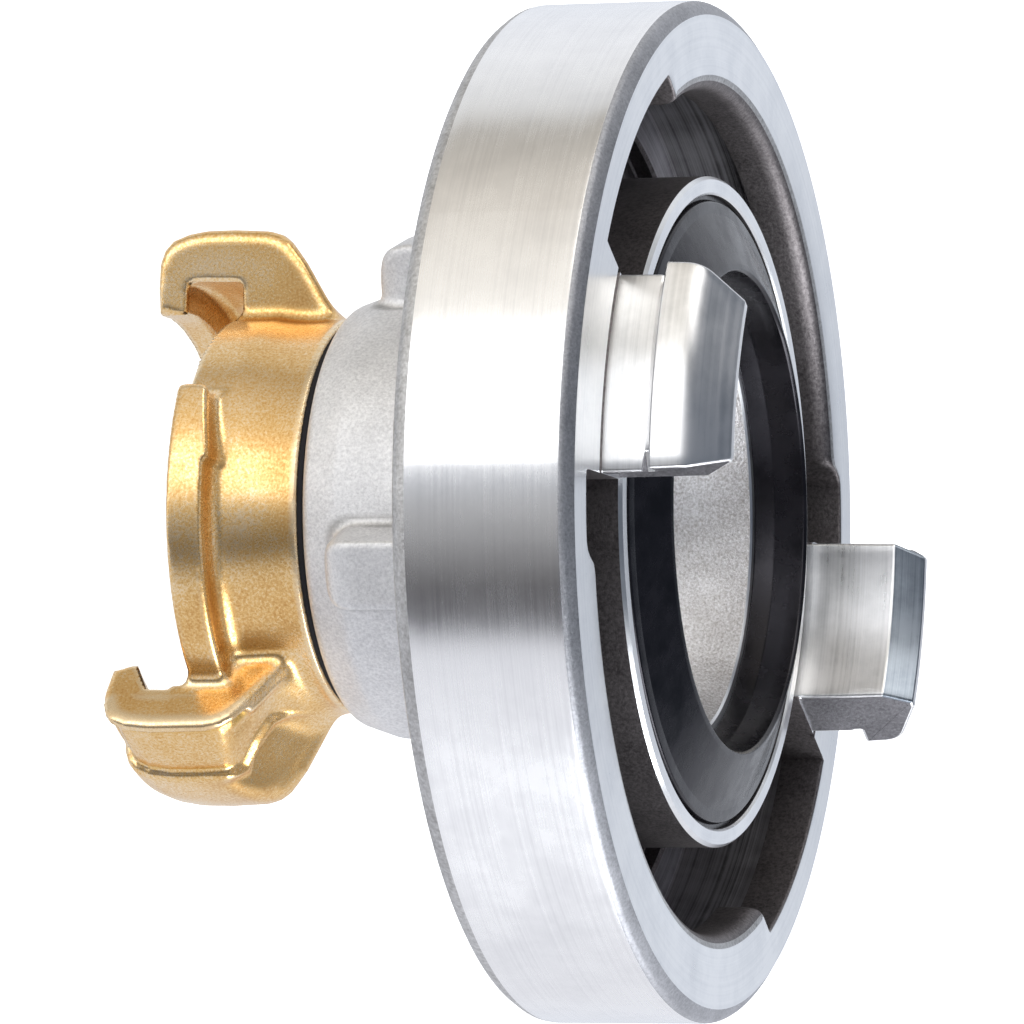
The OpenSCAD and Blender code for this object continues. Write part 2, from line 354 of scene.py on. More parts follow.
def linear(code):
    """Linear colour from an sRGB hex value."""
    parts = [int(code[i:i + 2], 16) / 255 for i in (1, 3, 5)]
    parts = [c / 12.92 if c <= 0.04045 else ((c + 0.055) / 1.055) ** 2.4 for c in parts]
    return (*parts, 1.0)


def add(tree, kind, settings=None, **links):
    """Adds a node, sets its properties, inputs and colour stops, and links the sockets given by name."""
    node = tree.nodes.new(kind)
    for key, value in (settings or {}).items():
        if key == "stops":
            elements = node.color_ramp.elements
            while len(elements) < len(value):
                elements.new(1.0)
            for element, (position, code) in zip(elements, value):
                element.position, element.color = position, linear(code)
        elif isinstance(key, int) or key in node.inputs:
            node.inputs[key].default_value = value
        else:
            setattr(node, key, value)
    for key, source in links.items():
        index = key.lstrip("_").replace("_", " ")
        socket = node.inputs[int(index)] if index.isdigit() else node.inputs[index]
        tree.links.new(source, socket)
    return node


def new_material(name):
    """An empty node material with its shader and output, and its object coordinates."""
    material = bpy.data.materials.new(name)
    material.use_nodes = True
    tree = material.node_tree
    tree.nodes.clear()
    shader = add(tree, "ShaderNodeBsdfPrincipled")
    add(tree, "ShaderNodeOutputMaterial", Surface=shader.outputs["BSDF"])
    place_at = add(tree, "ShaderNodeTexCoord").outputs["Object"]
    return material, tree, shader, place_at


def per_metre(size_mm):
    """Scale of a noise whose features are size_mm wide."""
    return 1000.0 / size_mm


def tool_path(tree, place_at):
    """Radius plus height as one coordinate: marks along it run round every turned face and wall."""
    flat = add(tree, "ShaderNodeVectorMath", {"operation": "MULTIPLY", 1: (1, 1, 0)}, _0=place_at)
    length = add(tree, "ShaderNodeVectorMath", {"operation": "LENGTH"}, _0=flat.outputs["Vector"])
    height = add(tree, "ShaderNodeSeparateXYZ", Vector=place_at)
    path = add(tree, "ShaderNodeMath", {"operation": "ADD"},
               _0=length.outputs["Value"], _1=height.outputs["Z"])
    return path.outputs[0]


# Forged aluminium after shot blasting: matt grey with fine pits, faint cloudy patches, and painted shade
# darkening its hollows.
def blasted_aluminium(name, dark, light, grit_mm, rough, strength):
    material, tree, shader, place_at = new_material(name)
    clouds = add(tree, "ShaderNodeTexNoise", {"Scale": per_metre(5), "Detail": 5, "Roughness": 0.6},
                 Vector=place_at)
    grit = add(tree, "ShaderNodeTexNoise", {"Scale": per_metre(grit_mm), "Detail": 4, "Roughness": 0.7},
               Vector=place_at)
    part_grit = add(tree, "ShaderNodeMath", {"operation": "MULTIPLY", 1: 0.7}, _0=grit.outputs["Fac"])
    mixed = add(tree, "ShaderNodeMath", {"operation": "MULTIPLY_ADD", 1: 0.3},
                _0=clouds.outputs["Fac"], _2=part_grit.outputs[0])
    colour = add(tree, "ShaderNodeValToRGB", {"stops": [(0.36, dark), (0.62, light)]},
                 Fac=mixed.outputs[0])
    # Painted shade: where the relief attribute marks a hollow, the colour is mixed towards a darker grey
    lie = add(tree, "ShaderNodeAttribute", {"attribute_name": "relief"})
    painted_hollow_shade = add(tree, "ShaderNodeMapRange", {"From Min": 0.03, "From Max": 0.25, "To Max": 0.75},
               Value=lie.outputs["Fac"])
    sunk = add(tree, "ShaderNodeMix", {"data_type": "RGBA", 7: linear("#83817f")},
               _0=painted_hollow_shade.outputs["Result"], _6=colour.outputs["Color"])
    tree.links.new(sunk.outputs[2], shader.inputs["Base Color"])
    shader.inputs["Metallic"].default_value = 1.0
    shader.inputs["Roughness"].default_value = rough
    bump = add(tree, "ShaderNodeBump", {"Strength": strength, "Distance": 0.0002},
               Height=grit.outputs["Fac"])
    tree.links.new(bump.outputs["Normal"], shader.inputs["Normal"])
    return material


# Turned aluminium: a lathe tool leaves lines round the part, so highlights stretch across them.
# The real lines are finer than the render can show, so they are drawn 0.4 mm apart.
def turned_aluminium(name, dark, light, rough, stretch, marks):
    material, tree, shader, place_at = new_material(name)
    lines = add(tree, "ShaderNodeTexNoise",
                {"noise_dimensions": "1D", "Scale": per_metre(0.4), "Detail": 4, "Roughness": 0.7},
                W=tool_path(tree, place_at))
    patches = add(tree, "ShaderNodeTexNoise", {"Scale": per_metre(7), "Detail": 6, "Roughness": 0.65},
                  Vector=place_at)
    part_lines = add(tree, "ShaderNodeMath", {"operation": "MULTIPLY", 1: marks}, _0=lines.outputs["Fac"])
    mixed = add(tree, "ShaderNodeMath", {"operation": "MULTIPLY_ADD", 1: 1 - marks},
                _0=patches.outputs["Fac"], _2=part_lines.outputs[0])
    colour = add(tree, "ShaderNodeValToRGB", {"stops": [(0.36, dark), (0.58, light)]},
                 Fac=mixed.outputs[0])
    tree.links.new(colour.outputs["Color"], shader.inputs["Base Color"])
    shader.inputs["Metallic"].default_value = 1.0
    shader.inputs["Anisotropic"].default_value = stretch
    shader.inputs["Anisotropic Rotation"].default_value = 0.25
    around = add(tree, "ShaderNodeTangent", {"direction_type": "RADIAL", "axis": "Z"})
    tree.links.new(around.outputs["Tangent"], shader.inputs["Tangent"])
    uneven = add(tree, "ShaderNodeMapRange",
                 {"From Min": 0.35, "From Max": 0.65, "To Min": rough - 0.03, "To Max": rough + 0.05},
                 Value=mixed.outputs[0])
    tree.links.new(uneven.outputs["Result"], shader.inputs["Roughness"])
    bump = add(tree, "ShaderNodeBump", {"Strength": 0.2, "Distance": 0.00004}, Height=lines.outputs["Fac"])
    tree.links.new(bump.outputs["Normal"], shader.inputs["Normal"])
    return material


# Hot forged brass after blasting: satin gold, finely grained, with painted shade deepening the gold in its
# hollows, pale on worn edges.
def forged_brass(name):
    material, tree, shader, place_at = new_material(name)
    grain = add(tree, "ShaderNodeTexNoise", {"Scale": per_metre(0.25), "Detail": 4, "Roughness": 0.65},
                Vector=place_at)
    clouds = add(tree, "ShaderNodeTexNoise", {"Scale": per_metre(9), "Detail": 3}, Vector=place_at)
    part_grain = add(tree, "ShaderNodeMath", {"operation": "MULTIPLY", 1: 0.6}, _0=grain.outputs["Fac"])
    mixed = add(tree, "ShaderNodeMath", {"operation": "MULTIPLY_ADD", 1: 0.4},
                _0=clouds.outputs["Fac"], _2=part_grain.outputs[0])
    plain = add(tree, "ShaderNodeValToRGB",
                {"stops": [(0.36, "#ce9a5a"), (0.5, "#eec584"), (0.64, "#fbe4c0")]}, Fac=mixed.outputs[0])
    # Painted shade: hollows marked by the relief attribute are mixed towards a deeper gold
    lie = add(tree, "ShaderNodeAttribute", {"attribute_name": "relief"})
    painted_hollow_shade = add(tree, "ShaderNodeMapRange", {"From Min": 0.08, "From Max": 0.7, "To Max": 0.85},
               Value=lie.outputs["Fac"])
    worn = add(tree, "ShaderNodeMapRange", {"From Min": -0.22, "From Max": -0.65, "To Max": 0.6},
               Value=lie.outputs["Fac"])
    sunk = add(tree, "ShaderNodeMix", {"data_type": "RGBA", 7: linear("#e0b45c")},
               _0=painted_hollow_shade.outputs["Result"], _6=plain.outputs["Color"])
    colour = add(tree, "ShaderNodeMix", {"data_type": "RGBA", 7: linear("#fff0d2")},
                 _0=worn.outputs["Result"], _6=sunk.outputs[2])
    tree.links.new(colour.outputs[2], shader.inputs["Base Color"])
    shader.inputs["Metallic"].default_value = 1.0
    uneven = add(tree, "ShaderNodeMapRange",
                 {"From Min": 0.38, "From Max": 0.62, "To Min": 0.32, "To Max": 0.24},
                 Value=mixed.outputs[0])
    tree.links.new(uneven.outputs["Result"], shader.inputs["Roughness"])
    grainy = add(tree, "ShaderNodeMapRange",
                 {"From Min": 0.42, "From Max": 0.6, "To Min": 0.02, "To Max": 0.12},
                 Value=clouds.outputs["Fac"])
    bump = add(tree, "ShaderNodeBump", {"Distance": 0.00006},
               Strength=grainy.outputs["Result"], Height=grain.outputs["Fac"])
    tree.links.new(bump.outputs["Normal"], shader.inputs["Normal"])
    return material


# Nitrile rubber from the mould, or pressed fibre: black, with a faint cool sheen and cloudy mould marks.
def black_seal(name, code, rough):
    material, tree, shader, place_at = new_material(name)
    film = add(tree, "ShaderNodeTexNoise", {"Scale": per_metre(4), "Detail": 5, "Roughness": 0.65},
               Vector=place_at)
    colour = add(tree, "ShaderNodeValToRGB", {"stops": [(0.35, "#060609"), (0.65, code)]},
                 Fac=film.outputs["Fac"])
    tree.links.new(colour.outputs["Color"], shader.inputs["Base Color"])
    shader.inputs["Specular Tint"].default_value = linear("#e6e3ef")
    uneven = add(tree, "ShaderNodeMapRange",
                 {"From Min": 0.35, "From Max": 0.65, "To Min": rough - 0.06, "To Max": rough + 0.08},
                 Value=film.outputs["Fac"])
    tree.links.new(uneven.outputs["Result"], shader.inputs["Roughness"])
    bump = add(tree, "ShaderNodeBump", {"Strength": 0.15, "Distance": 0.0002}, Height=film.outputs["Fac"])
    tree.links.new(bump.outputs["Normal"], shader.inputs["Normal"])
    return material


# Ring's outside, finely turned: nearly white, with the longest highlights
band = turned_aluminium("aluminium_turned_band", "#eeeef0", "#fbfbfc", 0.25, 0.9, 0.35)
# Ring's face and the sleeve's rim, faced: a little greyer, with shorter highlights
faced = turned_aluminium("aluminium_turned_face", "#dddfe2", "#f4f5f6", 0.3, 0.5, 0.25)
# Lugs' turned sides: like the band, a shade duller
lug_side = turned_aluminium("aluminium_turned_lug", "#e0e1e2", "#fbfbfc", 0.3, 0.88, 0.35)
# Groove's wall, roughly turned: strong lines, and dark grey as painted shade of the groove
groove_wall_shaded = turned_aluminium("aluminium_turned_rough_painted_shade", "#6f6d70", "#b9b8bd", 0.42, 0.6, 0.6)
# Front chamfer, left raw: even mid grey
chamfer = blasted_aluminium("aluminium_rough_chamfer", "#999a9f", "#c2c3c8", 0.3, 0.48, 0.2)
# Forged edges: light grey and grainy
forged_edge = blasted_aluminium("aluminium_forged_edge", "#aaa9a9", "#d9d9da", 0.4, 0.5, 0.4)
# Slope inside a lug's tip: bluish mid grey, a painted dark reflection
lug_tip_painted_reflection = turned_aluminium("aluminium_turned_tip_painted_reflection", "#7d858e", "#a6aeb8", 0.3, 0.6, 0.3)
# Ends of the lugs, as forged: dark grey and grainy
lug_end = blasted_aluminium("aluminium_forged_end", "#68676b", "#929195", 0.35, 0.6, 0.4)
# Hub and ribs: pale, matt and finely pitted
hub_metal = blasted_aluminium("aluminium_blasted", "#d6d6d8", "#f8f8f9", 0.3, 0.6, 0.3)
# Inside of the groove and the other recesses: dark brownish grey, painted shade
groove_shade_metal = blasted_aluminium("aluminium_groove_painted_shade", "#5a5657", "#8c8788", 0.35, 0.5, 0.2)
# Water chamber: speckled from mid grey to nearly white
chamber_metal = blasted_aluminium("aluminium_chamber", "#b0acaa", "#f6f6f8", 0.25, 0.4, 0.45)
brass = forged_brass("brass_forged_blasted")
# Lip gasket: black, with the clearest sheen of the seals
gasket_rubber = black_seal("rubber_moulded_lip", "#131217", 0.25)
# Face seal: the same rubber, satin
seal_rubber = black_seal("rubber_moulded_seal", "#17181b", 0.5)
# Flat seal, cut from pressed fibre: black and dry
fibre = black_seal("fibre_flat_cut", "#100f0e", 0.7)


# Ring

def ring_section(inner, back, bevel):
    """Corners (r, z, finish) of the ring's section, each with the finish of the side that starts there.

    Inner is the flange's inner radius, back the height of its back, and bevel the size of its bevel."""
    edge = inner + 1.6 * bevel
    # Only the face beside a lug's foot has a turned line along the lug, coloured with the groove's painted
    # shade as a shadow along the lug's root
    line_depth = 0.35 if inner < 39 else 0
    # The flange's inner wall and the channel take the painted shade of the groove
    bevelled = [
        (inner, back, groove_shade_metal), (inner, FACE - 2 * bevel, groove_shade_metal),
        (inner + 0.15 * bevel, FACE - 1.1 * bevel, groove_shade_metal),
        (inner + 0.5 * bevel, FACE - 0.5 * bevel, groove_shade_metal),
        (inner + bevel, FACE - 0.15 * bevel, forged_edge)]
    face = [
        (edge, FACE, faced), (max(edge, LUG_SHANK), FACE, groove_shade_metal),
        (max(edge, 39.35), FACE - line_depth, groove_shade_metal),
        (max(edge, 39.7), FACE - line_depth, groove_shade_metal),
        (max(edge, 39.9), FACE, faced), (44.6, FACE, faced), (46.2, FACE, faced)]
    front = [
        (47.6, FACE, chamfer), (48.5, FACE - 0.6, chamfer), (48.75, FACE - 0.85, chamfer),
        (48.93, FACE - 1.15, band), (RING, FACE - 1.5, band)]
    outside = [(RING, z, band) for z in (54, 50, 46, 42.5)] + [(RING, 41.4, forged_edge)]
    rear = [(r, z, forged_edge) for r, z in (
        (48.9, 40.9), (48.35, 40.15), (48.1, RING_BACK), (44, RING_BACK))]
    channel = [(r, z, groove_shade_metal) for r, z in (
        (29.6, RING_BACK), (29.6, CHANNEL_FLOOR), (36, CHANNEL_FLOOR), (39.6, CHANNEL_FLOOR),
        (CHANNEL, 42.8), (CHANNEL, GROOVE_FLOOR - 0.3))]
    groove = [(r, z, groove_wall_shaded) for r, z in (
        (40.1, GROOVE_FLOOR), (43.3, GROOVE_FLOOR), (43.75, 44.8), (GROOVE, 45.3), (GROOVE, 49),
        (GROOVE, max(back, 45.4)))]
    return bevelled + face + front + outside + rear + channel + groove


def ring_path():
    """Inner outline of half of the ring's face, as rows of angle, inner radius, flange back and bevel."""
    slot = GROOVE - 0.02
    lug_foot = LUG_INNER + 0.06
    foot = [(-124.45, r) for r in (43.2, 41, 39, 37, 35, 33.6)] + [(-124.3, lug_foot)]
    foot += [(angle, lug_foot) for angle in np.arange(-122.5, -96, 2)] + [(-95.5, lug_foot)]
    foot += [(-95.35, r) for r in (33.6, 35, 37, 39, 41, 43)]
    # Short recess beside the lug, and the rounded corner from it up to the flange
    recess = [(LUG_END, 43.5, 0.15), (-95.0, 43.8, 0.15)]
    recess += [(angle, 43.8, 0.15) for angle in np.arange(-93.5, -87.2, 1.5)]
    recess += [
        (-86.6, 43.75, 0.15), (-85.6, 43.4, 0.2), (-84.8, 42.7, 0.3), (-84.25, 41.9, 0.45),
        (-83.7, 41.1, 0.65), (-83.0, 40.6, 0.85), (-82.2, FLANGE, 0.9)]
    flange = [(angle, FLANGE, 0.9) for angle in np.arange(-80, 17.5, 2)]
    # The flange's other end, and the long slot up to the next lug
    flange += [
        (17.4, FLANGE, 0.9), (18.1, 40.5, 0.8), (18.5, 40.8, 0.5), (18.8, 41.3, 0.25), (19.6, 42.3, 0.15),
        (20.4, 43.3, 0.15), (20.8, 43.75, 0.15), (21.2, slot, 0.15)]
    flange += [(angle, slot, 0.15) for angle in np.arange(23, 55, 2)]
    return ([(LUG_START, slot, FLANGE_BACK, 0.15)]
            + [(angle, inner, SLOT_FLOOR, 0.1) for angle, inner in foot]
            + [(angle, inner, FLANGE_BACK, bevel) for angle, inner, bevel in recess + flange])


ring_columns = []
for turn in (0, HALF_TURN):
    for angle, *sizes in ring_path():
        section = ring_section(*sizes)
        corners = np.array([corner[:2] for corner in section])
        ring_columns.append(place(corners[:, 0], angle + turn, corners[:, 1]))
ring_finishes = [corner[2] for corner in section]
make_piece("ring", stitch(ring_columns, True, ring_finishes), "aluminium", "coupling_body")


# Lugs

HOOK_SEAT = FACE + 5.0
lug_outline = rounded([
    (LUG_INNER, 42.5, 0), (LUG_SHANK, 42.5, 0), (LUG_SHANK, FACE + 3.8, 0), (LUG_SHANK, FACE + 4.1, 0),
    (39.05, FACE + 4.4, 0), (39.05, HOOK_SEAT, 0.2), (LUG_HOOK, HOOK_SEAT, 0.25),
    (LUG_HOOK, FACE + 8.5, 2.4), (35.5, FACE + LUG_HEIGHT, 0.3), (34.6, FACE + LUG_HEIGHT, 0.25),
    (LUG_INNER, FACE + 8.4, 0.6)], 5)


def first_end(radius, z):
    """How far the upper end of the near lug stands back, which leans towards the tip."""
    return 0.7 * np.clip((z - FACE) / LUG_HEIGHT, 0, 1)


def second_end(radius, z):
    """The same for its lower end, with the broken tip and the nick beside the hook."""
    nick = 1.8 * ((z > FACE + 4.0) & (z < FACE + 5.2) & (radius > 38.8) & (radius < 39.4))
    broken_tip = 1.1 * np.clip((z - FACE - 8.4) / 2.8, 0, 1)
    return 0.4 * np.clip((z - FACE) / LUG_HEIGHT, 0, 1) + broken_tip + nick


# The slope inside the tip takes the painted dark reflection
lug_finishes = [lug_tip_painted_reflection if radius < 34.7 and z > FACE + 8.9 else lug_side for radius, z in lug_outline]
lug_skin = swept_skin(lug_outline, LUG_START, LUG_END, 0.3, first_end, second_end, lug_finishes, lug_end)
make_piece("lugs", doubled(lug_skin), "aluminium", "coupling_body", sharp=24)


# Sleeve, chamber and thread

# The sleeve's wall in the groove, the seat and the thread take the painted shade of the groove
rim = [
    (SLEEVE, 42, groove_shade_metal), (SLEEVE, 50, groove_shade_metal), (SLEEVE, 55, groove_shade_metal),
    (SLEEVE, RIM - 0.35, faced), (SLEEVE - 0.3, RIM, faced), (SEAT + 0.2, RIM, faced)]
seat = [
    (SEAT, RIM - 0.2, groove_shade_metal), (SEAT, SEAT_FLOOR, groove_shade_metal), (FOOT, SEAT_FLOOR, groove_shade_metal),
    (FOOT, LIP_SEAT, faced), (CHAMBER + 0.2, LIP_SEAT, faced)]
chamber = [(r, z, chamber_metal) for r, z in (
    (CHAMBER, 54.1), (20.9, 52.4), (20.2, 50.2), (19.2, 47.9), (18.3, 45.6), (17.5, 43.7), (16.6, 42.2),
    (15.4, 40.6), (14.9, 39.6))]
thread = [(14.8, 38.5)]
for thread_turn in range(7):
    top = 37.6 - THREAD_PITCH * thread_turn
    thread += [
        (THREAD - 1.05, top), (THREAD - 0.95, top - 0.25), (THREAD + 0.35, top - 1.0),
        (THREAD + 0.35, top - 1.3), (THREAD - 0.95, top - 2.05)]
thread += [(16.9, HUB_END), (18.5, HUB_END), (18.5, 40.5), (30.5, 41.5)]
sleeve = rim + seat + chamber + [(r, z, groove_shade_metal) for r, z in thread]
sleeve_outline = np.array([corner[:2] for corner in sleeve])
make_piece("sleeve", turned_skin(sleeve_outline, [corner[2] for corner in sleeve]),
           "aluminium", "coupling_body", sharp=28)


# Hub with its spanner ribs

HUB_INNER = 15.6
RIB_END = 25.2
RIB_START = -78
hub_outline = rounded([
    (HUB_INNER, HUB_END, 0), (18.6, HUB_END, 0.4), (20.4, HUB_END + 0.5, 1.2), (HUB, HUB_END + 4.2, 3.0),
    (HUB, 45, 0), (HUB_INNER, 45, 0)], 5)


def hub_field(x, y, z):
    """Hub, its four ribs and the inner part of the ring's back as one forged shape."""
    radius = np.hypot(x, y)
    body = outline_distance(hub_outline, radius, z)
    angle = (np.arctan2(y, x) - math.radians(RIB_START) + math.pi / 4) % (math.pi / 2) - math.pi / 4
    out, side = radius * np.cos(angle), np.abs(radius * np.sin(angle))
    half_width = 3.7 - 0.4 * np.clip((out - HUB) / 5.6, 0, 1)
    plan = meet(side - half_width, RIB_END - z, 3.0)
    profile = meet(out - 27.2, RIB_END - z, 3.8)
    rib = meet(meet(plan, profile, 0.55), 17 - out, 0.5)
    shape = join(body, rib, 0.8)
    shape = join(shape, RING_BACK - 0.02 - z, 1.0)
    shape = meet(shape, radius - 31.5, 0.3)
    shape = meet(shape, z - 41.2, 0.3)
    return meet(shape, HUB_INNER - radius, 0.1)


hub_skin = forged_skin(hub_field, (-32.4, -32.4, 20.6), (32.4, 32.4, 41.8), 0.42, hub_metal)
make_piece("hub", hub_skin, "aluminium", "coupling_body", sharp=180,
           hollows=relief(hub_field, hub_skin[0], 0.8))


# Brass claw coupling

STOP_END = [
    (19.85, 0.1), (22.4, 0.0), (25.0, 0.2), (26.3, 0.7), (27.2, 1.6), (27.8, 3.2), (28.1, 5.0),
    (28.15, 7.9), (27.95, 11.5), (27.6, 12.7), (26.9, 13.8), (24.9, 15.6), (21.9, 17.3), (18.0, 19.3),
    (17.0, 19.3), (17.0, 12.0), (22.6, 12.0), (23.05, 8.8), (23.1, 4.2), (22.9, 3.5), (22.2, 3.15),
    (19.85, 3.1)]
FREE_END = [
    (20.0, 0.1), (22.9, 0.0), (24.8, 0.15), (26.1, 0.7), (27.05, 1.5), (27.8, 3.1), (28.15, 5.75),
    (28.0, 11.2), (27.6, 12.65), (26.6, 13.9), (25.05, 15.05), (23.0, 16.1), (18.0, 18.4), (17.0, 18.4),
    (17.0, 12.8), (21.65, 12.4), (22.3, 11.8), (22.6, 7.9), (22.5, 7.1), (23.0, 6.4), (22.9, 4.4),
    (19.75, 2.7)]
SEGMENT_START = -126
SEGMENT_INNER = 16
COLLAR_END = SHOULDER + 0.25


def collar_field(radius, z):
    """Round collar with its slight waist."""
    waist = 0.35 * np.clip(1 - ((z - 16.6) / 3.6) ** 2, 0, 1)
    corners = [(10, SEAL_FACE), (COLLAR, SEAL_FACE), (COLLAR, COLLAR_END), (10, COLLAR_END)]
    return meet(outline_distance(corners, radius + waist, z), z - SHOULDER - 0.25, 0.3)


def segment_field(radius, angle, z, per_degree):
    """Flange segment with the ramp that the other half's claw rides up."""
    rear = np.interp(angle, [SEGMENT_START, -107, -105.6, -104.4, -40],
                     [11.5, 12.7, 12.7, SEGMENT_BACK, SEGMENT_BACK])
    segment = meet(radius - SEGMENT, meet(SEAL_FACE - z, z - rear, 0.6), 0.7)
    ends = np.maximum(SEGMENT_START - angle, angle + 43.0) * per_degree
    return meet(meet(segment, ends, 0.7), SEGMENT_INNER - radius, 0.2)


def claw_field(radius, angle, z, per_degree):
    """Claw, whose outline changes from its free end to its stop end."""
    share = np.clip((angle + CLAW_ANGLE) / CLAW_ANGLE, 0, 1)
    free, stop = outline_distance(FREE_END, radius, z), outline_distance(STOP_END, radius, z)
    claw = free * (1 - share) + stop * share
    outer_side = claw + 0.9
    web = meet(meet(radius - 24.5, 8.95 - z, 0.4), z - 14, 0.4)
    web = meet(meet(web, (-11 - angle) * per_degree, 0.7), SEGMENT_INNER - radius, 0.2)
    # End edges are well rounded outside and crisp round the notch
    notch = np.maximum(np.abs(radius - 20.4) - 3.2, np.abs(z - 7.6) - 5.2)
    edge = 0.3 + np.clip(notch, 0, 1.6) / 1.6
    claw = meet(join(claw, web, 0.7), np.maximum(-CLAW_ANGLE - angle, angle) * per_degree, edge)
    # Flat field sunk into the outer side
    flat = meet(np.maximum(-42.4 - angle, angle + 27) * per_degree, 24.5 - radius, 0.5)
    claw = carve(claw, meet(meet(flat, -outer_side, 0.3), z - 14.6, 0.3), 0.9)
    # Sloping back, sunk between both ends, with a curved ridge across it
    over_back = (radius - COLLAR) * 0.52 + (z - 19.2) * 0.85
    sunk = np.interp(angle, [-CLAW_ANGLE, -42, -38, -30, -22, -16, -8, -2.5, 0],
                     [0, 0, 1.5, 2.2, 2.6, 2.0, 1.1, 0.15, 0])
    ridge = np.interp(radius, [19.3, 20.5, 22.2, 24.2, 26.2, 27.8], [-14, -22, -27, -25.5, -22, -26])
    sunk = sunk - 0.55 * np.exp(-((angle - ridge) * per_degree / 0.8) ** 2)
    return carve(claw, meet(-over_back - sunk, 20.2 - radius, 1.8), 0.9)


def brass_field(x, y, z):
    """Collar, flange segments and claws as one forging. Half of it, repeated by a half turn."""
    radius = np.hypot(x, y)
    angle = (np.degrees(np.arctan2(y, x)) + 150) % HALF_TURN - 150
    per_degree = radius * math.pi / HALF_TURN
    shape = join(collar_field(radius, z), segment_field(radius, angle, z, per_degree), 1.7)
    shape = join(shape, claw_field(radius, angle, z, per_degree), 1.4)
    # Bore and the recess of the face seal
    shape = carve(shape, radius - BORE, 0.2)
    return carve(shape, meet(radius - RECESS, z - SEAL_BED, 0.05), 0.2)


brass_skin = forged_skin(brass_field, (-29.2, -29.2, -0.8), (29.2, 29.2, 21.4), 0.36, brass)
make_piece("claw_half", brass_skin, "brass", "claw_coupling", sharp=180,
           hollows=relief(brass_field, brass_skin[0], 0.9))

TAIL_END = 34.7
tail_outline = [(BORE, 20.2), (THREAD - 0.9, 20.2), (THREAD - 0.9, 22.2)]
for thread_turn in range(5):
    low = 22.6 + THREAD_PITCH * thread_turn
    tail_outline += [
        (THREAD - 1.0, low), (THREAD + 0.2, low + 0.9), (THREAD + 0.2, low + 1.2),
        (THREAD - 1.0, low + 2.1)]
tail_outline += [(THREAD - 1.0, TAIL_END), (BORE + 0.2, TAIL_END), (BORE, TAIL_END - 0.2)]
tail_skin = turned_skin(np.array(tail_outline), [brass] * len(tail_outline), 160)
make_piece("threaded_tail", tail_skin, "brass", "claw_coupling", sharp=28)


# Seals

gasket_outline = rounded([
    (FOOT, SEAT_FLOOR, 0), (SEAT - 0.02, SEAT_FLOOR, 0), (SEAT - 0.02, 56.3, 0), (29.95, 56.3, 0),
    (29.75, 56.95, 0.3), (28.6, 57.15, 0.4), (23.75, 59.25, 0.35), (23.2, 59.4, 0.2),
    (22.95, 59.1, 0.25), (22.85, 57.9, 0.9), (22.75, 56.2, 1.2), (22.2, 54.4, 0.3), (22.3, LIP_SEAT, 0),
    (FOOT, LIP_SEAT, 0)], 4)
face_seal_outline = rounded([
    (BORE + 0.05, SEAL_BED, 0), (BORE + 0.5, 7.9, 0.3), (BORE + 1.1, 7.4, 0.3), (15.5, 7.4, 0.3),
    (16.0, 7.9, 0.3), (16.5, SEAL_BED, 0)], 4)
flat_seal_outline = rounded([
    (16.3, SHOULDER, 0), (18.9, SHOULDER, 0.2), (18.9, HUB_END, 0.2), (16.3, HUB_END, 0)], 3)
for name, outline, finish, steps, slot, node in (
        ("lip_gasket", gasket_outline, gasket_rubber, 240, "gasket_rubber", "main_gasket"),
        ("face_seal", face_seal_outline, seal_rubber, 160, "seal_rubber", "claw_seal"),
        ("flat_seal", flat_seal_outline, fibre, 160, "seal_fibre", "thread_seal")):
    make_piece(name, turned_skin(outline, [finish] * len(outline), steps), slot, node, sharp=40)


# Floor

floor_mesh = bpy.data.meshes.new("floor")
floor_mesh.from_pydata([(-4, -4, 0), (4, -4, 0), (4, 6, 0), (-4, 6, 0)], [], [(0, 1, 2, 3)])
floor = bpy.data.objects.new("floor", floor_mesh)
bpy.context.scene.collection.objects.link(floor)
floor.visible_glossy = False
# Painted studio board: pale, matt and even
floor_material, _, floor_shader, _ = new_material("board_painted_pale")
floor_shader.inputs["Base Color"].default_value = linear("#f7f7f7")
floor_shader.inputs["Roughness"].default_value = 0.9
floor_shader.inputs["Emission Color"].default_value = linear("#ffffff")
floor_shader.inputs["Emission Strength"].default_value = 1.0
floor_mesh.materials.append(floor_material)


# Light tent round the object, which only reflections and soft light see: the camera sees plain pale

# Brightness of the wall. Degrees run from the camera's side over the side of the first lug.
TENT_WALL = [
    (-180, "#a1a5ac"), (-140, "#a3a4a8"), (-29, "#a3a4a8"), (-25, "#4a4a4d"), (-17, "#3d3c3d"),
    (2, "#808081"), (11, "#888b90"), (14, "#ffffff"), (40, "#ffffff"), (43, "#bab7b1"), (75, "#99948c"),
    (97, "#77736c"), (101, "#9c9c9b"), (125, "#abacae"), (180, "#a1a5ac")]
TENT_ROOF = "#3f444c"
# Heights of a direction at which the roof begins and has fully taken over
ROOF_START, ROOF_FULL = 0.47, 0.63

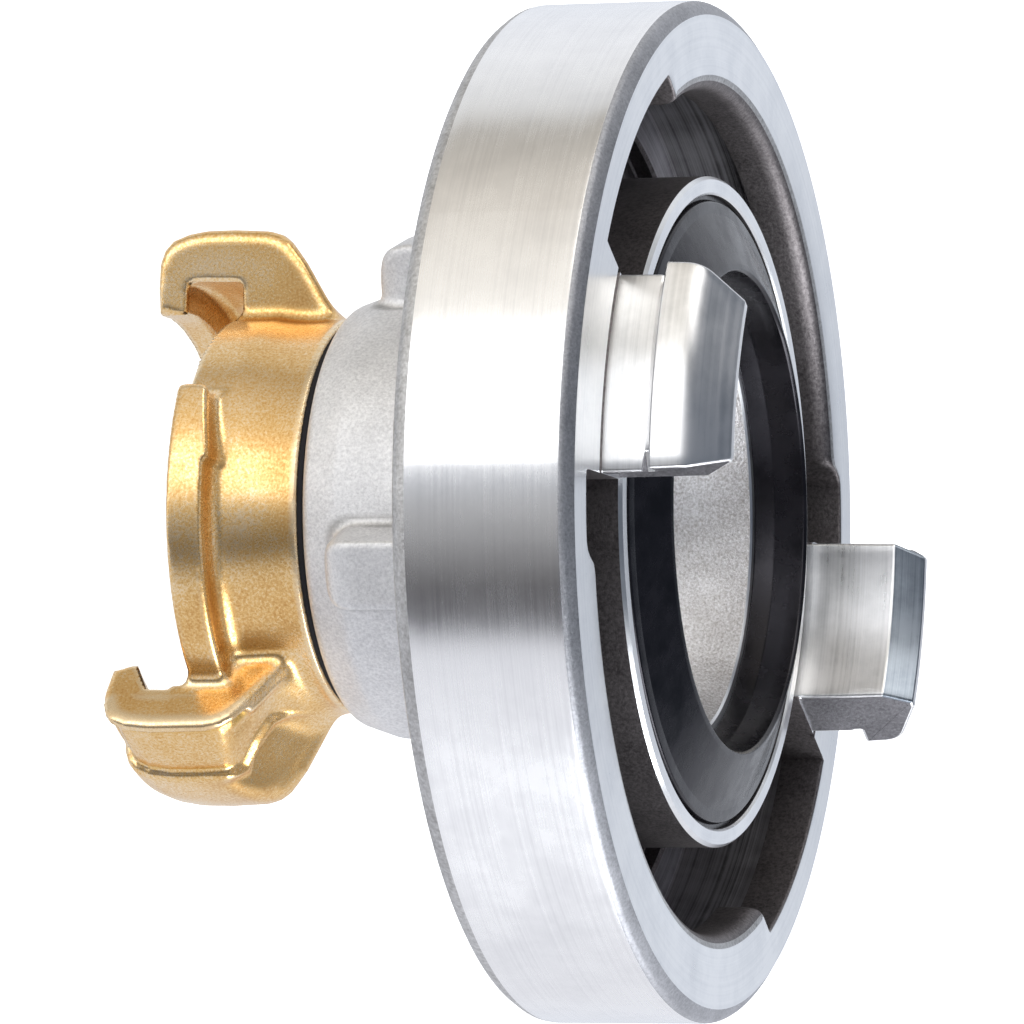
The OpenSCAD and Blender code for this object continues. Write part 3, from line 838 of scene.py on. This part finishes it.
world = bpy.data.worlds.new("studio")
bpy.context.scene.world = world
world.use_nodes = True
tent = world.node_tree
tent.nodes.clear()
direction = add(tent, "ShaderNodeTexCoord")
towards = add(tent, "ShaderNodeVectorMath", {"operation": "MULTIPLY", 1: (-1, -1, 1)},
              _0=direction.outputs["Generated"])
parts = add(tent, "ShaderNodeSeparateXYZ", Vector=towards.outputs["Vector"])
round_angle = add(tent, "ShaderNodeMath", {"operation": "ARCTAN2"},
                  _0=parts.outputs["X"], _1=parts.outputs["Y"])
round_share = add(tent, "ShaderNodeMapRange", {"From Min": -math.pi, "From Max": math.pi},
                  Value=round_angle.outputs[0])
wall_stops = [((angle + 180) / 360, code) for angle, code in TENT_WALL]
wall = add(tent, "ShaderNodeValToRGB", {"stops": wall_stops}, Fac=round_share.outputs["Result"])
up_share = add(tent, "ShaderNodeMapRange", {"From Min": ROOF_START, "From Max": ROOF_FULL},
               Value=parts.outputs["Z"])
inside = add(tent, "ShaderNodeMix", {"data_type": "RGBA", 7: linear(TENT_ROOF)},
             _0=up_share.outputs["Result"], _6=wall.outputs["Color"])
lit = add(tent, "ShaderNodeBackground", {"Strength": 2.2}, Color=inside.outputs[2])
plain = add(tent, "ShaderNodeBackground", {"Color": linear("#f6f6f7"), "Strength": 1.0})
ray = add(tent, "ShaderNodeLightPath")
seen = add(tent, "ShaderNodeMixShader",
           _0=ray.outputs["Is Camera Ray"], _1=lit.outputs[0], _2=plain.outputs[0])
add(tent, "ShaderNodeOutputWorld", Surface=seen.outputs[0])


# Soft lights

def softbox(name, at, width, height, power, colour):
    """A rectangular soft light at a point, facing the middle of the object. Sizes are in metres."""
    light = bpy.data.lights.new(name, "AREA")
    light.shape = "RECTANGLE"
    light.size, light.size_y = width, height
    light.energy = power
    light.color = colour
    holder = bpy.data.objects.new(name, light)
    bpy.context.scene.collection.objects.link(holder)
    holder.location = at
    back = Vector(at) - Vector((0, 0, 0.04))
    holder.rotation_euler = back.to_track_quat("Z", "Y").to_euler()


softbox("key", (-1.1, -0.3, 0.9), 0.8, 0.6, 4, (1.0, 0.98, 0.95))
softbox("side", (1.1, -0.2, 0.8), 1.2, 0.6, 15, (0.96, 0.98, 1.0))


# Camera, on its side: the coupling stands, but its axis lies level in the picture

PICTURE_WIDTH = 1024
FOCAL_PIXELS = 8245.9
SENSOR_MM = 36.0
TURN_X, TURN_Y, TURN_Z = -0.0003, 0.3056, -0.0121
CAMERA_AT = (0.0, -0.7595, 0.27587)

camera = bpy.data.cameras.new("camera")
camera.sensor_fit = "HORIZONTAL"
camera.sensor_width = SENSOR_MM
camera.lens = SENSOR_MM * FOCAL_PIXELS / PICTURE_WIDTH
camera.clip_start, camera.clip_end = 0.05, 20
holder = bpy.data.objects.new("camera", camera)
bpy.context.scene.collection.objects.link(holder)
level = np.array([[0, 0, 1], [1, 0, 0], [0, 1, 0]])
right, down, forward = spin(2, TURN_Z) @ spin(1, TURN_Y) @ spin(0, TURN_X) @ level
rows = [(right[i], -down[i], -forward[i], CAMERA_AT[i]) for i in range(3)]
holder.matrix_world = Matrix((*rows, (0, 0, 0, 1)))
bpy.context.scene.camera = holder
bpy.context.scene.view_settings.view_transform = "Standard"
